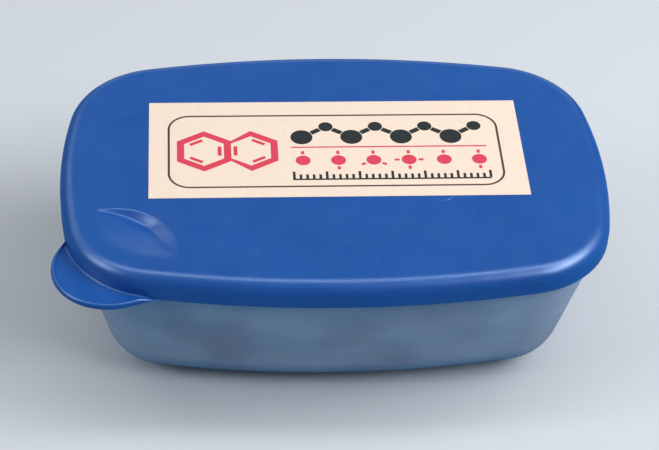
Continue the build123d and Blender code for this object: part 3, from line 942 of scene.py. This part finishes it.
def bar(first, last, width):
    # a straight stroke: both ends moved half its width to either side
    first, last = np.array(first, float), np.array(last, float)
    ahead = (last - first) / np.hypot(*(last - first))
    aside = np.array([-ahead[1], ahead[0]]) * width / 2
    return np.array([first - aside, last - aside, last + aside, first + aside])


def printPiece(name, fills, bands, material):
    # each fill is its outline at two heights, closed by two caps; each band is a section of five corners
    # carried along two outlines of equal count
    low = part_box("label")[1][2] / mm
    high = low + labelPrint["thickness"]
    low -= labelPrint["thickness"] / 2
    stacks = [((outline, outline), (high, low)) for outline in fills]
    stacks += [((inner, inner, outer, outer, inner), (low, high, high, low, low)) for outer, inner in bands]
    points, faceSets, start = [], {}, 0
    for rings, heights in stacks:
        block = raised(np.stack(rings), heights).reshape(-1, 3)
        count = len(rings[0])
        faces = [gridFaces(len(rings), count, True)[:, ::-1]]
        if len(rings) == 2:
            top = np.arange(count)[None, :]
            faces += [top, top[:, ::-1] + count]
        for face in faces:
            faceSets.setdefault(face.shape[1], []).append(face + start)
        points.append(block)
        start += len(block)
    faceSets = [np.concatenate(faces) for faces in faceSets.values()]
    piece = newPiece(name, np.concatenate(points), faceSets, material, "lid")


def ringPrint(cfg):
    # two hexagons side by side, with a short inner stroke along every other side
    outer = cfg["radius"] + cfg["stroke"] / 2
    half = outer * math.sqrt(3) / 2
    bands, fills = [], []
    for number in range(2):
        spot = (cfg["spot"][0] + number * (2 * half - cfg["stroke"]), cfg["spot"][1])
        shape = regular(spot, outer, 6, math.pi / 2)
        hollow = insetPolygon(shape, cfg["stroke"])
        if number:
            shape[[1, 2], 0] = spot[0] - half + cfg["stroke"] + cfg["gap"]
        bands.append((shape, hollow))
        inner = regular(spot, cfg["radius"] - cfg["inset"] + cfg["inner"], 6, math.pi / 2)
        for side in range(number, 6, 2):
            first, last = inner[side], inner[(side + 1) % 6]
            cut = (last - first) * cfg["cut"]
            fills.append(bar(first + cut, last - cut, cfg["inner"]))
    return bands, fills


def discPrint(cfg):
    # a row of discs, with one to four spokes in turn
    near, far, stroke = cfg["spoke"]
    fills = []
    for number in range(cfg["count"]):
        spot = np.array([cfg["from"] + cfg["step"] * number, cfg["y"]])
        fills.append(regular(spot, cfg["radius"], cfg["sides"]))
        spokes = number % 4 + 1
        for ahead in regular((0, 0), 1, spokes, math.pi / 2):
            fills.append(bar(spot + near * ahead, spot + far * ahead, stroke))
    return fills


def chainPrint(cfg):
    # a zigzag of balls, large and small in turn, with bars that stop at their edges
    odd = np.arange(cfg["count"]) % 2
    spots = np.stack([cfg["from"] + cfg["step"] * np.arange(cfg["count"]),
                      cfg["middle"] + cfg["rise"] * np.where(odd, 1, -1)], axis=1)
    sizes = np.where(odd, cfg["small"], cfg["big"])
    fills = [regular(spot, size, cfg["sides"]) for spot, size in zip(spots, sizes)]
    sizes = sizes + cfg["gap"]
    for first, last, size, nextSize in zip(spots[:-1], spots[1:], sizes[:-1], sizes[1:]):
        ahead = (last - first) / np.hypot(*(last - first))
        fills.append(bar(first + ahead * size, last - ahead * nextSize, cfg["bar"]))
    return fills


def rulerPrint(cfg, start, end):
    # a line with a tick at every step, and a taller one at every fifth
    fills = [bar((start, cfg["y"]), (end, cfg["y"]), cfg["line"])]
    foot = cfg["y"] + cfg["line"] / 2 + cfg["gap"]
    for number, x in enumerate(np.arange(start + cfg["stroke"] / 2, end, cfg["step"])):
        height = cfg["tall"] if number % cfg["every"] == 0 else cfg["short"]
        fills.append(bar((x, foot), (x, foot + height), cfg["stroke"]))
    return fills


def makePrint(cfg):
    # one piece for each ink: the frame line, then all that is red, then all that is black
    box, rule, (start, end) = cfg["frame"], cfg["rule"], cfg["lines"]
    line = roundedBox(box["size"], box["corner"], box["steps"]) + np.array(cfg["centre"]) + box["offset"]
    printPiece("labelFrameLine", [], [(line, insetPolygon(line, box["line"]))], inks["brownBlackLineInk"])
    bands, red = ringPrint(cfg["rings"])
    red.append(bar((start, rule["y"]), (end, rule["y"]), rule["stroke"]))
    printPiece("labelRedPrint", red + discPrint(cfg["discs"]), bands, inks["redPrintingInk"])
    black = chainPrint(cfg["chain"]) + rulerPrint(cfg["ruler"], start, end)
    printPiece("labelBlackPrint", black, [], inks["blackPrintingInk"])


makePrint(labelPrint)
print("label print done")


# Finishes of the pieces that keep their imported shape; neighbouring facets are welded and smoothed

facets = {"weld": 1e-6, "keepAngle": 30}     # metres, and degrees from which an edge stays sharp


def dress(piece, material):
    piece.data.materials.clear()
    piece.data.materials.append(material)
    piece.data.polygons.foreach_set("use_smooth", np.ones(len(piece.data.polygons), bool))
    weld = piece.modifiers.new("weld", "WELD")
    weld.merge_threshold = facets["weld"]
    split = piece.modifiers.new("keepEdges", "EDGE_SPLIT")
    split.split_angle = math.radians(facets["keepAngle"])


slotOf = {part["node"]: part["material_slot"] for part in frame["record"]["subparts"]}
for name, piece in frame["nodes"].items():
    dress(piece, materials[slotOf[name]])
print("packed pieces dressed:", len(frame["nodes"]))


# Pale floor and backdrop, soft lights and sky; distances in metres

stageLook = {
    "floor": "#D6DBE1",
    "bounce": "#5A8BB3",     # colour of the light that the floor throws back
    "sky": "#EAF1FA",
    "skyLight": 0.14,
    "skySeen": 0.85,
    "fade": (0.55, 1.7),     # distances over which the floor turns into the backdrop
    "floorHalf": 6,
    "floorDrop": 0.0002,     # clear of the tub's base
}
lamps = {
    "overhead": {"spot": (-0.1, 0.03, 1.06), "size": (1.55, 0.17), "glow": 4.2, "aim": (-0.1, 0.03, 0)},
    "upperRight": {"spot": (0.66, 0.04, 0.8), "size": (0.5, 0.45), "glow": 3.2, "aim": (0, 0, 0.06)},
    "right": {"spot": (1.44, -0.6, 1.42), "size": (1.5, 0.8), "glow": 6.9, "aim": (0, 0, 0.04)},
    "back": {"spot": (0.2, 1.9, 0.53), "size": (1.6, 0.8), "glow": 0.6, "aim": (0, 0, 0.03)},
    "backLeft": {"spot": (-1.35, 1.25, 1.15), "size": (1.4, 0.9), "glow": 0.9, "aim": (0, 0, 0.03)},
    "left": {"spot": (-1.5, -0.34, 1.04), "size": (0.7, 0.7), "glow": 4.8, "aim": (0, 0, 0.05)},
}


def makeFloor(cfg):
    # the camera sees a pale floor that fades into the sky's colour; all other light meets a bluer one
    material, tree, place = startMaterial("paleFloor")
    seen = node(tree, "LightPath").outputs["Is Camera Ray"]
    colour = blendColours(tree, seen, linear(cfg["bounce"]), linear(cfg["floor"]))
    near = node(tree, "BsdfDiffuse", {"Color": colour}).outputs[0]
    backdrop = {"Color": linear(cfg["sky"]), "Strength": cfg["skySeen"]}
    far = node(tree, "Emission", backdrop).outputs[0]
    away = node(tree, "VectorMath", {0: place}, operation="LENGTH").outputs["Value"]
    share = calc(tree, "MULTIPLY", span(tree, away, (0, 1), cfg["fade"]), seen)
    shader = node(tree, "MixShader", {0: share, 1: near, 2: far}).outputs[0]
    node(tree, "OutputMaterial", {"Surface": shader})
    mesh = bpy.data.meshes.new("floor")
    half = cfg["floorHalf"]
    corners = [(-half, -half, 0), (half, -half, 0), (half, half, 0), (-half, half, 0)]
    mesh.from_pydata(corners, [], [(0, 1, 2, 3)])
    mesh.materials.append(material)
    floor = bpy.data.objects.new("floor", mesh)
    floor.location.z = -cfg["floorDrop"]
    bpy.context.scene.collection.objects.link(floor)


def makeLamp(name, cfg):
    # power in step with the area, so that a lamp's size doesn't change how bright it looks
    data = bpy.data.lights.new(name, "AREA")
    data.shape = "RECTANGLE"
    data.size, data.size_y = cfg["size"]
    data.energy = cfg["glow"] * math.pi * cfg["size"][0] * cfg["size"][1]
    lamp = bpy.data.objects.new(name, data)
    lamp.location = cfg["spot"]
    lamp.rotation_euler = (Vector(cfg["aim"]) - lamp.location).to_track_quat("-Z", "Y").to_euler()
    bpy.context.scene.collection.objects.link(lamp)


def makeSky(cfg):
    # the camera sees the backdrop's colour; the light on the object is much weaker
    world = bpy.data.worlds.new("softSky")
    bpy.context.scene.world = world
    world.use_nodes = True
    tree = world.node_tree
    tree.nodes.clear()
    seen = node(tree, "LightPath").outputs["Is Camera Ray"]
    glow = span(tree, seen, (cfg["skyLight"], cfg["skySeen"]), (0, 1))
    sky = node(tree, "Background", {"Color": linear(cfg["sky"]), "Strength": glow})
    node(tree, "OutputWorld", {"Surface": sky.outputs[0]})


makeFloor(stageLook)
for lampName, lampLook in lamps.items():
    makeLamp(lampName + "Softbox", lampLook)
makeSky(stageLook)
bpy.context.scene.view_settings.view_transform = "Standard"
print("stage done")
